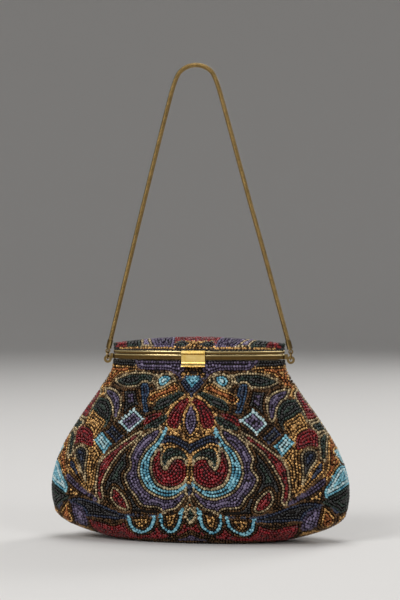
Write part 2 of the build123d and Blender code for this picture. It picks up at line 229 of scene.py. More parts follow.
def smooth_through(knots, values, at):
    """Smooth curve through the values at the knots, read at the given places."""
    slopes = np.gradient(values, knots)
    span = np.clip(np.searchsorted(knots, at) - 1, 0, len(knots) - 2)
    width = knots[span + 1] - knots[span]
    t = (at - knots[span]) / width
    start = values[span] + t * (width * slopes[span])
    end = values[span + 1] - (1 - t) * (width * slopes[span + 1])
    blend = t * t * (3 - 2 * t)
    flat = values[span] * (1 - blend) + values[span + 1] * blend
    lift = (start - values[span]) * (1 - t) ** 2 + (end - values[span + 1]) * t**2
    return flat + lift


def mouth_reach(x):
    """Half depth of the mouth's bowed outline at x."""
    join = mouth_end_centre * mouth_bow_radius / (mouth_bow_radius - mouth_end_radius)
    bow = np.sqrt(mouth_bow_radius**2 - x**2) - mouth_bow_centre
    past_centre = np.clip(np.abs(x) - mouth_end_centre, 0, mouth_end_radius)
    return np.where(np.abs(x) < join, bow, np.sqrt(mouth_end_radius**2 - past_centre**2))


def pouch_surface(angles, shares):
    """Grid of points on the pouch's front, by angle round its plan and share of its height."""
    levels = []
    for column in range(1, 5):
        base = smooth_through(base_level_shares[:, 0], base_level_shares[:, column], shares)
        belly = smooth_through(belly_level_shares[:, 0], belly_level_shares[:, column], shares)
        levels.append(np.where(shares < crease_share, base, belly))
    swell, deepen, roundness, pleat = levels
    half_width = mouth_half_length + (belly_half_width - mouth_half_length) * swell
    half_depth = mouth_half_depth + (belly_half_depth - mouth_half_depth) * deepen
    across = np.cos(angles)[:, None]
    bow = mouth_reach(mouth_half_length * across) / mouth_half_depth
    out = half_depth * ((1 - roundness) * bow + roundness * np.sin(angles)[:, None])
    for pleat_angle in pleat_angles:
        fold = np.exp(-(((angles - pleat_angle) / pleat_width) ** 2))[:, None]
        out = out - pleat_depth * pleat * fold
    up = np.broadcast_to(shares * pouch_height, out.shape)
    return np.stack([half_width * across, -out, up], axis=-1)


def outward_normals(points, outward):
    """Unit normals of a grid of points, on the side that a typical direction points to."""
    normals = np.cross(np.gradient(points, axis=0), np.gradient(points, axis=1))
    normals /= np.maximum(np.linalg.norm(normals, axis=-1, keepdims=True), least_area)
    middle = normals[points.shape[0] // 2, points.shape[1] // 2]
    return normals * np.sign(middle @ np.array(outward))


def woven_cloth(name, dark, light, thread_spacing, roughness, bump_strength=0, thread_height=0):
    """Cloth mottled in two shades at the spacing of its threads, as (material, shader)."""
    woven, tree, shader = new_material(name)
    place = add_node(tree, "ShaderNodeTexCoord")
    weave = add_node(
        tree,
        "ShaderNodeTexNoise",
        {"Vector": place.outputs["Object"], "Scale": 1 / thread_spacing},
    )
    shade = add_node(
        tree,
        "ShaderNodeMix",
        {"Factor": weave.outputs["Fac"], "A": linear(dark), "B": linear(light)},
        data_type="RGBA",
    )
    tree.links.new(shade.outputs["Result"], shader.inputs["Base Color"])
    shader.inputs["Roughness"].default_value = roughness
    if bump_strength:
        bump = add_node(
            tree,
            "ShaderNodeBump",
            {
                "Height": weave.outputs["Fac"],
                "Strength": bump_strength,
                "Distance": thread_height,
            },
        )
        tree.links.new(bump.outputs["Normal"], shader.inputs["Normal"])
    return woven, shader


# Black cotton, plain woven and matt, so it only darkens the gaps between the beads. Its threads
# are about 0.3 mm apart and are drawn coarser than that, to show in close views.
panel_cloth, _ = woven_cloth(
    "black_cotton_ground_cloth",
    dark="#0F0C0A",
    light="#2A211B",
    thread_spacing=0.5 * mm,
    roughness=0.9,
    bump_strength=0.4,
    thread_height=0.2 * mm,
)

cloth_angles = np.radians(np.linspace(0, 180, cloth_columns))
cloth_shares = np.concatenate([
    np.linspace(0, crease_share, cloth_base_rows),
    np.linspace(crease_share, 1, cloth_belly_rows)[1:],
])
cloth_points = pouch_surface(cloth_angles, cloth_shares)
cloth_points = cloth_points - cloth_inset * outward_normals(cloth_points, (0, -1, 0))
floor_rim = cloth_points[:, :1]
floor_rows = []
for row in range(cloth_floor_rows):
    share = row / cloth_floor_rows
    ring = floor_rim * np.array([share, share, 0])
    floor_rows.append(ring + np.array([0, 0, cloth_inset]))
cloth_points[:, :, 2] = np.maximum(cloth_points[:, :, 2], cloth_inset)
cloth_points = np.concatenate([*floor_rows, cloth_points], axis=1)
for panel_name, mirror in (("front_panel", as_drawn), ("back_panel", front_to_back)):
    corners = (cloth_points * mirror).reshape(-1, 3)
    faces = grid_faces(cloth_columns, cloth_points.shape[1])
    if mirror is front_to_back:
        faces = [face[::-1] for face in faces]
    cloth = mesh_object(panel_name.replace("panel", "cloth"), corners.tolist(), [], faces)
    wall = cloth.modifiers.new("wall", "SOLIDIFY")
    wall.thickness = cloth_wall
    wall.offset = -1
    cloth.data.materials.append(panel_cloth)
    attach(cloth, "bag")
    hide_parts(panel_name)

# Glass seed beads on the pouch: short barrels strung on thread and couched down in rows that
# follow the outline of each motif from its edge inwards. The two panels carry the same scroll
# pattern, each half the mirror of the other.
row_pitch = 2.4 * mm
bead_pitch = 2.25 * mm
bead_radius = 1.18 * mm
bead_length = 1.9 * mm
bead_lift = 1.0 * mm
bead_sides = 6
bead_profile_shares = [(0.7, -1), (1, 0), (0.7, 1)]
bead_least_size = 0.9
bead_seed = 7
pattern_columns = 341
pattern_base_rows = 111
pattern_belly_rows = 330
pattern_low_share = 0.004
pattern_high_share = 0.997
curve_steps = 6
least_length = 1e-9
# Where the distance to the edge rises less than this in all directions, a motif has its ridge
ridge_slope = 0.6
climb_doublings = 10
# A row along a ridge lies a little below it, and is drawn on one side only
middle_row_slack = 0.12
middle_row_tilt = 0.37
# Dark shade, light shade, metallic share, roughness
bead_glass = {
    "gold": ("#4E3217", "#DBAC6C", 0.75, 0.13),
    "bronze": ("#1D130A", "#634526", 0.65, 0.17),
    "copper": ("#52290F", "#B87343", 0.70, 0.14),
    "beige": ("#5E4F3A", "#C8B28A", 0.50, 0.16),
    "black": ("#060505", "#211E1E", 0.0, 0.08),
    "green": ("#070F0B", "#263A2F", 0.0, 0.09),
    "red": ("#3B0606", "#821311", 0.0, 0.08),
    "crimson": ("#530910", "#9C1B25", 0.0, 0.08),
    "purple": ("#211A2B", "#5B4D6A", 0.0, 0.10),
    "lavender": ("#3E364D", "#7F7290", 0.0, 0.10),
    "turquoise": ("#2E7892", "#95CFDC", 0.0, 0.11),
    "pale": ("#8FB9C0", "#D3E6E6", 0.0, 0.12),
    "navy": ("#0E1424", "#28344F", 0.0, 0.10),
    "blue": ("#15273F", "#31506F", 0.0, 0.10),
}
# Name, side of the bag that shows it best, whether its corners are sharp, colours of its rows from
# the edge inwards, outline in columns and rows of the picture
pouch_motifs = [
    ("ground", "left", True, "bronze gold", []),
    ("shoulder", "left", False, "gold copper gold bronze",
     [(111, 362), (136, 364), (135, 371), (120, 374), (112, 382), (102, 396), (93, 399),
      (100, 388), (109, 374)]),
    ("collar_dark", "left", True, "black green",
     [(100, 355), (142, 355), (142, 366), (110, 364)]),
    ("collar", "left", False, "purple lavender",
     [(138, 356), (183, 356), (184, 372), (180, 380), (174, 373), (162, 370), (140, 369)]),
    ("leaf", "left", False, "beige green black",
     [(114, 380), (126, 373), (141, 371), (154, 373), (160, 378), (150, 384), (138, 387),
      (122, 387)]),
    ("comma_bed", "left", False, "beige green",
     [(154, 378), (163, 372), (173, 374), (177, 381), (170, 387), (160, 390), (154, 386)]),
    ("comma", "left", False, "turquoise pale",
     [(159, 378), (164, 375), (170, 377), (167, 383), (161, 386), (158, 382)]),
    ("stripes", "left", True, "bronze black purple black",
     [(121, 388), (138, 388), (141, 407), (134, 408), (122, 418), (119, 410), (122, 400)]),
    ("drop", "left", False, "beige purple lavender",
     [(104, 388), (112, 387), (119, 392), (122, 403), (119, 416), (114, 421), (110, 412),
      (106, 400)]),
    ("shoulder_leaf", "left", False, "green black green",
     [(92, 402), (98, 397), (107, 399), (111, 408), (110, 418), (104, 427), (98, 419), (88, 413)]),
    ("blue_strip", "left", False, "blue navy",
     [(141, 385), (147, 383), (149, 392), (147, 402), (148, 412), (143, 411), (141, 397)]),
    ("copper_bar", "left", False, "gold copper",
     [(146, 399), (152, 392), (163, 388), (174, 382), (180, 386), (179, 391), (170, 395),
      (160, 399), (151, 405)]),
    ("green_bar", "left", False, "green black",
     [(153, 408), (160, 400), (170, 396), (180, 391), (185, 394), (176, 402), (166, 407),
      (157, 411)]),
    ("petal_edge", "left", False, "gold",
     [(190, 394), (192, 404), (187, 416), (182, 429), (173, 432), (164, 425), (166, 413),
      (177, 399)]),
    ("petal", "left", False, "red crimson",
     [(188, 398), (189, 404), (184, 415), (179, 426), (173, 429), (167, 423), (169, 414),
      (179, 402)]),
    ("heart", "left", False, "gold beige",
     [(193, 399), (203, 412), (203, 430), (193, 444), (182, 433), (182, 416)]),
    ("teardrop", "left", False, "lavender purple",
     [(194, 403), (200, 415), (199, 428), (193, 436), (186, 428), (186, 415)]),
    ("fan", "left", False, "gold bronze",
     [(164, 429), (176, 431), (184, 437), (193, 444), (193, 449), (180, 442), (165, 437)]),
    ("clasp_gold", "left", False, "gold copper",
     [(182, 372), (206, 372), (204, 378), (184, 378)]),
    ("triangle", "left", True, "navy blue",
     [(180, 382), (185, 376), (203, 376), (208, 382), (194.5, 402)]),
    ("triangle_middle", "left", True, "turquoise",
     [(185, 379), (187, 376.5), (202, 376.5), (204, 379), (194.5, 392)]),
    ("scroll_dark", "left", False, "bronze black green black",
     [(160, 425), (146, 427), (132, 439), (117, 455), (106, 470), (101, 486), (105, 502),
      (120, 511), (150, 515), (187, 514), (190, 494), (180, 450)]),
    ("scroll_leaf", "left", False, "beige red crimson",
     [(113, 486), (121, 492), (127, 501), (129, 511), (119, 509), (112, 503), (109, 495)]),
    ("scroll_purple", "left", False, "beige purple lavender purple",
     [(161, 426), (150, 430), (140, 436), (133, 446), (128, 457), (129, 466), (123, 476),
      (127, 488), (134, 497), (141, 507), (157, 509), (164, 514), (176, 510), (185, 500),
      (188, 491), (184, 484), (170, 460), (163, 445)]),
    ("scroll_blue", "left", False, "turquoise turquoise",
     [(165, 428), (157, 441), (147, 451), (140, 465), (141, 478), (149, 490), (165, 497),
      (177, 494), (187, 485), (183, 482), (174, 487), (162, 487), (153, 480), (150, 470),
      (153, 457), (161, 443), (167, 432)]),
    ("navy_collar", "left", False, "navy black",
     [(164, 437), (172, 435), (182, 440), (193, 446), (194, 457), (186, 451), (176, 445),
      (163, 445)]),
    ("hook_edge", "left", False, "gold",
     [(160, 447), (168, 442), (178, 445), (188, 452), (193, 464), (184, 462), (174, 458),
      (167, 463), (165, 470), (160, 460)]),
    ("hook", "left", False, "green black",
     [(164, 452), (170, 448), (178, 450), (185, 455), (188, 462), (180, 459), (172, 458),
      (167, 463), (165, 469), (163, 461)]),
    ("scroll_red_edge", "left", False, "beige",
     [(160, 445), (151, 457), (149, 471), (155, 485), (167, 490), (180, 488), (189, 478),
      (190, 466), (183, 457), (172, 457), (167, 464), (165, 467), (162, 460), (163, 449)]),
    ("scroll_red", "left", False, "red crimson",
     [(159, 450), (153, 460), (152, 471), (157, 482), (167, 487), (179, 485), (186, 477),
      (187, 467), (181, 460), (174, 460), (169, 467), (164, 471), (160, 462)]),
    ("ribbon", "left", False, "beige red crimson",
     [(140, 430), (122, 441), (103, 456), (95, 471), (94, 488), (97, 502), (104, 500), (103, 484),
      (111, 467), (123, 451), (141, 436)]),
    ("top_leaf", "left", False, "red crimson",
     [(143, 424), (146, 416), (154, 413), (162, 413), (157, 419), (149, 424)]),
    ("under_leaf", "left", False, "green black",
     [(144, 429), (150, 422), (158, 418), (167, 415), (165, 422), (154, 428)]),
    ("diamond", "left", True, "pale lavender purple lavender",
     [(118, 421.5), (134, 408), (144, 419), (128, 433)]),
    ("trapezoid", "left", True, "navy black",
     [(106, 432), (112, 425), (123, 436), (116, 443)]),
    ("centre", "left", False, "gold bronze",
     [(186, 466), (193, 457), (200, 466), (199, 484), (193, 489), (187, 482)]),
    ("centre_navy", "left", False, "navy",
     [(187, 488), (193, 482), (200, 488), (198, 496), (189, 496)]),
    ("outer_gold", "right", False, "gold",
     [(283, 424), (293, 417), (301, 413), (309, 427), (304, 437), (303, 455), (302, 470),
      (303, 486), (297, 497), (292, 488), (289, 468), (282, 455), (290, 438)]),
    ("outer_red_top", "right", False, "beige red crimson",
     [(294, 394), (300, 388), (309, 396), (316, 406), (320, 416), (317, 422), (307, 421),
      (302, 410)]),
    ("outer_green_top", "right", False, "beige green black",
     [(310, 424), (319, 419), (322, 410), (329, 423), (330, 433), (321, 436)]),
    ("outer_red", "right", False, "red crimson red",
     [(296, 440), (301, 432), (312, 429), (319, 436), (321, 447), (312, 446), (303, 449),
      (297, 449)]),
    ("outer_leaf", "right", False, "beige green",
     [(319, 437), (325, 432), (330, 441), (329, 453), (326, 463), (321, 461), (319, 450)]),
    ("keyhole", "right", False, "beige black navy",
     [(301, 455), (306, 449), (313, 448), (319, 454), (317, 463), (311, 472), (306, 486),
      (302, 486), (302, 470)]),
    ("keyhole_tail", "right", False, "gold navy",
     [(317, 463), (324, 461), (325, 471), (316, 481), (302, 494), (300, 491), (309, 477)]),
    ("outer_bronze", "right", False, "gold copper gold",
     [(329, 436), (336, 438), (340, 447), (336, 454), (341, 463), (336, 473), (326, 482),
      (323, 476), (328, 466)]),
    ("outer_pale", "right", False, "pale turquoise",
     [(335, 451), (341, 449), (348, 459), (348, 465), (341, 461)]),
    ("outer_blue", "right", False, "turquoise pale turquoise",
     [(341, 465), (350, 472), (351, 483), (338, 493), (327, 499), (325, 490), (330, 482)]),
    ("outer_black", "right", False, "green black green black",
     [(352, 484), (352, 499), (344, 513), (335, 512), (323, 504), (328, 498), (341, 491)]),
    ("outer_purple", "right", False, "purple bronze",
     [(324, 478), (326, 484), (316, 492), (304, 499), (290, 506), (290, 501), (306, 492)]),
    ("square", "right", True, "turquoise pale turquoise",
     [(274, 446), (286, 434), (295, 443), (282, 457)]),
    ("crease_dark", "left", False, "navy black",
     [(58, 506), (74, 498), (92, 501), (110, 509), (130, 514), (160, 516), (140, 520), (126, 520),
      (110, 519), (90, 517), (70, 515)]),
    ("base_red", "left", False, "bronze red crimson red",
     [(84, 517), (100, 520), (112, 524), (128, 519), (160, 516), (186, 512), (200, 524),
      (200, 541), (165, 541), (125, 539), (95, 531)]),
    ("base_purple", "left", False, "bronze purple lavender",
     [(165, 541), (182, 537), (200, 530), (205, 552), (165, 552)]),
    ("base_loop_inner", "left", False, "bronze gold",
     [(129, 517), (132, 528), (141, 532), (150, 528), (154, 517)]),
    ("base_loop", "left", False, "turquoise",
     [(127, 517), (130, 529), (141, 534), (152, 529), (156, 517), (152.5, 517), (149, 526.5),
      (141, 530.5), (133, 526.5), (130.5, 517)]),
    ("middle_loop_inner", "left", False, "bronze gold",
     [(161, 515), (162, 527), (170, 532), (177, 527), (182, 511)]),
    ("middle_loop", "left", False, "turquoise",
     [(159, 515), (160, 528), (170, 534), (179, 528), (184, 510), (180.5, 510), (176, 526),
      (170, 530.5), (163.5, 526), (162.5, 515)]),
    ("centre_drop", "left", False, "beige copper",
     [(184, 510), (189, 497), (194, 489), (200, 498), (205, 509), (204, 520), (194, 527),
      (185, 520)]),
    ("centre_green", "left", False, "green",
     [(188, 513), (194, 508), (201, 512), (201, 519), (194, 523), (188, 519)]),
    ("base_corner", "right", False, "bronze gold copper",
     [(318, 513), (324, 505), (332, 509), (338, 518), (333, 526), (320, 530), (315, 523)]),
    ("base_corner_purple", "right", False, "purple lavender",
     [(305, 516), (320, 508), (319, 519), (315, 528), (302, 531)]),
]


def closed_curve(points):
    """Round closed outline through the points, with a few places on each span."""
    knots = np.array(points, float)
    before, after, second = np.roll(knots, 1, 0), np.roll(knots, -1, 0), np.roll(knots, -2, 0)
    places = []
    for step in range(curve_steps):
        t = step / curve_steps
        swing = (after - before) * t + (2 * before - 5 * knots + 4 * after - second) * t**2
        places.append(knots + (swing + (3 * knots - before - 3 * after + second) * t**3) / 2)
    return np.stack(places, axis=1).reshape(-1, 2)


def inside_outline(outline, column, row):
    """Which places of the picture lie inside a closed outline."""
    found = np.zeros(column.shape, bool)
    for (x0, y0), (x1, y1) in zip(outline, np.roll(outline, -1, 0)):
        if y0 != y1:
            crosses = (y0 > row) != (y1 > row)
            found ^= crosses & (column < x0 + (row - y0) * (x1 - x0) / (y1 - y0))
    return found


def paint_motifs(motifs, left_points):
    """Number of the motif at each point of a grid over the left half, the last one on top."""
    seen = {
        "left": picture_place(left_points),
        "right": picture_place(left_points * left_to_right),
    }
    painted = np.zeros(left_points.shape[:2], int)
    for number, (_, side, sharp, _, points) in enumerate(motifs):
        if points:
            outline = np.array(points, float) if sharp else closed_curve(points)
            painted[inside_outline(outline, *seen[side])] = number
    return painted


def edge_distance(painted, points, rims):
    """Distance from each point of a half grid to the nearest edge between motifs, or to a rim."""
    along, up = painted[1:] != painted[:-1], painted[:, 1:] != painted[:, :-1]
    edges = [((points[1:] + points[:-1]) / 2)[along], ((points[:, 1:] + points[:, :-1]) / 2)[up]]
    edges = np.concatenate(edges + [rim.reshape(-1, 3) for rim in rims])
    edges = np.concatenate([edges, edges * left_to_right])
    tree = KDTree(len(edges))
    for number, place in enumerate(edges):
        tree.insert(place, number)
    tree.balance()
    found = [tree.find(place)[2] for place in points.reshape(-1, 3)]
    return np.array(found).reshape(painted.shape)


def both_halves(left, mirrored):
    """The grid of the whole panel from that of its left half and its mirrored copy."""
    return np.concatenate([mirrored[::-1], left[1:]])


# Sides of a grid cell that a row of beads crosses, for each set of its corners above the level
cell_crossings = {
    1: [("left", "low")], 2: [("low", "right")], 3: [("left", "right")], 4: [("right", "high")],
    5: [("left", "high"), ("low", "right")], 6: [("low", "high")], 7: [("left", "high")],
    8: [("left", "high")], 9: [("low", "high")], 10: [("left", "low"), ("right", "high")],
    11: [("right", "high")], 12: [("left", "right")], 13: [("low", "right")], 14: [("left", "low")],
}


def fit_rows(distance, points):
    """Spreads whole rows over the width of each motif, as (place in rows, count across)."""
    n, m = distance.shape
    here = np.arange(n * m).reshape(n, m)
    steepest = np.full((n, m), ridge_slope)
    climb = here.copy()
    for along in (-1, 0, 1):
        for up in (-1, 0, 1):
            if along or up:
                inner = slice(max(along, 0), n + min(along, 0)), slice(max(up, 0), m + min(up, 0))
                outer = slice(max(-along, 0), n + min(-along, 0)), slice(max(-up, 0), m + min(-up, 0))
                run = np.linalg.norm(points[inner] - points[outer], axis=-1)
                slope = (distance[inner] - distance[outer]) / np.maximum(run, least_length)
                better = slope > steepest[outer]
                steepest[outer] = np.where(better, slope, steepest[outer])
                climb[outer] = np.where(better, here[inner], climb[outer])
    climb = climb.ravel()
    for _ in range(climb_doublings):
        climb = climb[climb]
    half_width = np.maximum(distance.ravel()[climb].reshape(n, m), distance)
    count = np.maximum(np.round(2 * half_width / row_pitch), 1)
    return distance * count / np.maximum(2 * half_width, least_length), count


def bead_lines(motifs, painted, distance, points):
    """Lines of the bead rows for each colour, as {colour: (corners, edges)}."""
    n, m = distance.shape
    number = np.arange(n * m).reshape(n, m)
    sides = {
        "low": number[:-1, :-1],
        "high": number[:-1, 1:],
        "left": n * m + number[:-1, :-1],
        "right": n * m + number[1:, :-1],
    }
    rows, count = fit_rows(distance, points)
    slope_along, slope_up = np.gradient(rows)
    flat_points = points.reshape(-1, 3)
    row_colours = [colours.split() for _, _, _, colours, _ in motifs]
    found = {}
    for row in range(int(rows.max()) + 1):
        middle_row = count == 2 * row + 1
        over = rows - (row + 0.5) + middle_row_slack * middle_row
        above = over > 0
        case = above[:-1, :-1] + 2 * above[1:, :-1] + 4 * above[1:, 1:] + 8 * above[:-1, 1:]
        keep = ~middle_row | (slope_along + middle_row_tilt * slope_up > 0)
        palette = np.array([colours[min(row, len(colours) - 1)] for colours in row_colours])
        pairs, colours = [], []
        for kind, crossings in cell_crossings.items():
            cells = (case == kind) & keep[:-1, :-1]
            for first, second in crossings:
                pairs.append(np.stack([sides[first][cells], sides[second][cells]], axis=-1))
                colours.append(palette[painted[:-1, :-1][cells]])
        pairs, colours = np.concatenate(pairs), np.concatenate(colours)
        flat_over = over.ravel()
        for colour in np.unique(colours):
            crossed, edges = np.unique(pairs[colours == colour], return_inverse=True)
            upward = crossed >= n * m
            start = np.where(upward, crossed - n * m, crossed)
            end = start + np.where(upward, 1, m)
            share = flat_over[start] / (flat_over[start] - flat_over[end])
            corners = flat_points[start] + (flat_points[end] - flat_points[start]) * share[:, None]
            old_corners, old_edges = found.get(colour, (np.zeros((0, 3)), np.zeros((0, 2), int)))
            edges = edges.reshape(-1, 2) + len(old_corners)
            found[colour] = (np.concatenate([old_corners, corners]), np.concatenate([old_edges, edges]))
    return found


# Tree that strings copies of a small piece along lines at a pitch, each a little different in size
string_tree = bpy.data.node_groups.new("pieces_strung_on_lines", "GeometryNodeTree")
string_inputs = {}
for socket_name, socket_type in (
    ("Lines", "NodeSocketGeometry"),
    ("Piece", "NodeSocketObject"),
    ("Pitch", "NodeSocketFloat"),
    ("Least size", "NodeSocketFloat"),
    ("Seed", "NodeSocketInt"),
    ("Material", "NodeSocketMaterial"),
):
    socket = string_tree.interface.new_socket(socket_name, in_out="INPUT", socket_type=socket_type)
    string_inputs[socket_name] = socket.identifier
string_tree.interface.new_socket("Pieces", in_out="OUTPUT", socket_type="NodeSocketGeometry")
given = add_node(string_tree, "NodeGroupInput").outputs
thread = add_node(string_tree, "GeometryNodeMeshToCurve", {"Mesh": given["Lines"]})
places = add_node(
    string_tree,
    "GeometryNodeCurveToPoints",
    {"Curve": thread.outputs["Curve"], "Length": given["Pitch"]},
    mode="LENGTH",
)
turned = add_node(
    string_tree,
    "FunctionNodeAlignRotationToVector",
    {"Vector": places.outputs["Tangent"]},
    axis="Z",
)
piece = add_node(string_tree, "GeometryNodeObjectInfo", {"Object": given["Piece"]})
sizes = add_node(
    string_tree,
    "FunctionNodeRandomValue",
    {2: given["Least size"], 3: 1.0, "Seed": given["Seed"]},
    data_type="FLOAT",
)
strung = add_node(
    string_tree,
    "GeometryNodeInstanceOnPoints",
    {
        "Points": places.outputs["Points"],
        "Instance": piece.outputs["Geometry"],
        "Rotation": turned.outputs["Rotation"],
        "Scale": sizes.outputs[1],
    },
)
tints = add_node(string_tree, "FunctionNodeRandomValue", {"Seed": given["Seed"]}, data_type="FLOAT")
tinted = add_node(
    string_tree,
    "GeometryNodeStoreNamedAttribute",
    {"Geometry": strung.outputs["Instances"], "Name": "tint", "Value": tints.outputs[1]},
    data_type="FLOAT",
    domain="INSTANCE",
)
real = add_node(string_tree, "GeometryNodeRealizeInstances", {"Geometry": tinted.outputs["Geometry"]})
finished = add_node(
    string_tree,
    "GeometryNodeSetMaterial",
    {"Geometry": real.outputs["Geometry"], "Material": given["Material"]},
)
add_node(string_tree, "NodeGroupOutput", {"Pieces": finished.outputs["Geometry"]})


def string_on_lines(lines, **values):
    """Turns an object of bare lines into the plain mesh of the pieces strung on them."""
    stringing = lines.modifiers.new("stringing", "NODES")
    stringing.node_group = string_tree
    for name, value in values.items():
        stringing[string_inputs[name.replace("_", " ").capitalize()]] = value
    strung_mesh = bpy.data.meshes.new_from_object(
        lines.evaluated_get(bpy.context.evaluated_depsgraph_get())
    )
    lines.modifiers.clear()
    lines.data = strung_mesh
    return lines


def barrel(name, radius, length, side_count, profile_shares):
    """A closed barrel along Z, to be strung on a line and then removed."""
    corners = []
    for share, place in profile_shares:
        for side in range(side_count):
            turn = 2 * math.pi * side / side_count
            out = radius * share
            corners.append((out * math.cos(turn), out * math.sin(turn), place * length / 2))
    faces = grid_faces(len(profile_shares), side_count, closed=True)
    first_end = range(side_count)
    last_end = range(len(corners) - side_count, len(corners))
    faces += [tuple(reversed(first_end)), tuple(last_end)]
    return mesh_object(name, corners, [], faces)


# Drawn glass, tumbled in heat until it shines, so each bead carries a small sharp glint. Gold,
# bronze, copper and beige beads have a thin metal coat. No two beads are quite the same shade.
glass_materials = {}
for colour, (dark, light, metal, roughness) in bead_glass.items():
    glass, glass_tree, glass_shader = new_material(f"{colour}_seed_bead_glass")
    bead_tint = add_node(glass_tree, "ShaderNodeAttribute", attribute_name="tint")
    glass_shade = add_node(
        glass_tree,
        "ShaderNodeMix",
        {"Factor": bead_tint.outputs["Fac"], "A": linear(dark), "B": linear(light)},
        data_type="RGBA",
    )
    glass_tree.links.new(glass_shade.outputs["Result"], glass_shader.inputs["Base Color"])
    glass_shader.inputs["Metallic"].default_value = metal
    glass_shader.inputs["Roughness"].default_value = roughness
    glass_materials[colour] = glass


def sew_beads(panel, lines, body, mirror):
    """One piece of beads for each colour of a panel, riding on its body."""
    bead = barrel("bead", bead_radius, bead_length, bead_sides, bead_profile_shares)
    for number, (colour, (corners, edges)) in enumerate(sorted(lines.items())):
        sewn = mesh_object(f"{panel}_{colour}_beads", (corners * mirror).tolist(), edges.tolist(), [])
        string_on_lines(
            sewn,
            piece=bead,
            pitch=bead_pitch,
            least_size=bead_least_size,
            seed=bead_seed + number,
            material=glass_materials[colour],
        )
        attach(sewn, body)
    bpy.data.objects.remove(bead)


row_angles = np.radians(np.linspace(90, 180, pattern_columns))
row_shares = np.concatenate([
    np.linspace(pattern_low_share, crease_share, pattern_base_rows),
    np.linspace(crease_share, pattern_high_share, pattern_belly_rows)[1:],
])
left_surface = pouch_surface(row_angles, row_shares)
left_painted = paint_motifs(pouch_motifs, left_surface)
left_distance = edge_distance(
    left_painted, left_surface, [left_surface[-1], left_surface[:, 0], left_surface[:, -1]]
)
pouch_points = both_halves(left_surface, left_surface * left_to_right)
pouch_painted = both_halves(left_painted, left_painted)
pouch_distance = both_halves(left_distance, left_distance)
pouch_points = pouch_points + (bead_lift - cloth_inset) * outward_normals(pouch_points, (0, -1, 0))
pouch_points[..., 2] = np.maximum(pouch_points[..., 2], bead_radius)
pouch_lines = bead_lines(pouch_motifs, pouch_painted, pouch_distance, pouch_points)
sew_beads("front", pouch_lines, "bag", as_drawn)
sew_beads("back", pouch_lines, "bag", front_to_back)

# Lining: a thin bag of ivory satin, sewn inside the panels, and a flat piece of the same under
# the lid. The long threads on its face give it a soft sheen. They are about 0.15 mm apart, and
# are drawn coarser than that, to show in close views.
satin, satin_shader = woven_cloth(
    "ivory_satin",
    dark="#B9A681",
    light="#D8C8A6",
    thread_spacing=0.35 * mm,
    roughness=0.38,
    bump_strength=0.15,
    thread_height=0.1 * mm,
)
satin_shader.inputs["Sheen Weight"].default_value = 0.3


def give_finish(node_name, finish):
    """Puts a material on a solid of the frame in place of its plain one."""
    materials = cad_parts[node_name].data.materials
    materials.clear()
    materials.append(finish)


give_finish("lining", satin)
give_finish("lid_lining", satin)

# Frame, hinge, clasp, lugs and rings: brass strip and wire, bent, soldered, polished and
# gold plated, which gives a warm mirror. The clasp is bright. The rest is dull in patches. The
# rails are darker, partly from tarnish and partly as painted shade, and carry a painted highlight
# along their upper edges.
rub_size = 4 * mm
# Painted highlight: a pale band along the top of each rail, in place of the lamps' reflection on a
# rounded rail
painted_highlight_band = 1.3 * mm
painted_highlight_fade = 0.3 * mm
painted_highlight_gilt = "#EBD59C"


def gilt_brass(name, dull, bright, roughness, painted_highlight_height=None):
    """Gold plate, dull in patches, with a painted highlight above a height where one is given."""
    gilt, gilt_tree, gilt_shader = new_material(name)
    gilt_place = add_node(gilt_tree, "ShaderNodeTexCoord")
    gilt_rub = add_node(
        gilt_tree,
        "ShaderNodeTexNoise",
        {"Vector": gilt_place.outputs["Object"], "Scale": 1 / rub_size, "Detail": 5.0},
    )
    gilt_shade = add_node(
        gilt_tree,
        "ShaderNodeMix",
        {"Factor": gilt_rub.outputs["Fac"], "A": linear(dull), "B": linear(bright)},
        data_type="RGBA",
    )
    # Painted highlight: above the given height the colour fades to a pale gold
    if painted_highlight_height:
        level = add_node(
            gilt_tree, "ShaderNodeSeparateXYZ", {"Vector": gilt_place.outputs["Object"]}
        )
        painted_highlight_share = add_node(
            gilt_tree,
            "ShaderNodeMapRange",
            {
                "Value": level.outputs["Z"],
                "From Min": painted_highlight_height,
                "From Max": painted_highlight_height + painted_highlight_fade,
            },
        )
        gilt_shade = add_node(
            gilt_tree,
            "ShaderNodeMix",
            {
                "Factor": painted_highlight_share.outputs["Result"],
                "A": gilt_shade.outputs["Result"],
                "B": linear(painted_highlight_gilt),
            },
            data_type="RGBA",
        )
    gilt_tree.links.new(gilt_shade.outputs["Result"], gilt_shader.inputs["Base Color"])
    gilt_shader.inputs["Roughness"].default_value = roughness
    gilt_shader.inputs["Metallic"].default_value = 1.0
    return gilt


worn_gilt = gilt_brass("worn_gilt_brass", dull="#665230", bright="#AE925E", roughness=0.16)
bright_gilt = gilt_brass("bright_gilt_brass", dull="#D9B04C", bright="#F8DC96", roughness=0.16)
gilt_finishes = {
    node_name: worn_gilt
    for node_name in (
        "hinge_leaf", "lid_leaf", "hinge_pin", "catch_stud", "left_lug", "right_lug",
        "left_jump_ring", "right_jump_ring", "left_end_cap", "right_end_cap",
    )
}
for node_name in ("clasp_bar", "clasp_pin", "clasp_flap"):
    gilt_finishes[node_name] = bright_gilt
# Rails: darker gilt, partly tarnish and partly painted shade, with a painted highlight band along the
# top edge
for node_name in ("mouth_frame", "lid_frame"):
    rail_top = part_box(node_name)[1].z
    gilt_finishes[node_name] = gilt_brass(
        f"painted_highlight_gilt_{node_name}",
        dull="#57452A",
        bright="#86693A",
        roughness=0.2,
        painted_highlight_height=rail_top - painted_highlight_band,
    )
for node_name, gilt in gilt_finishes.items():
    give_finish(node_name, gilt)

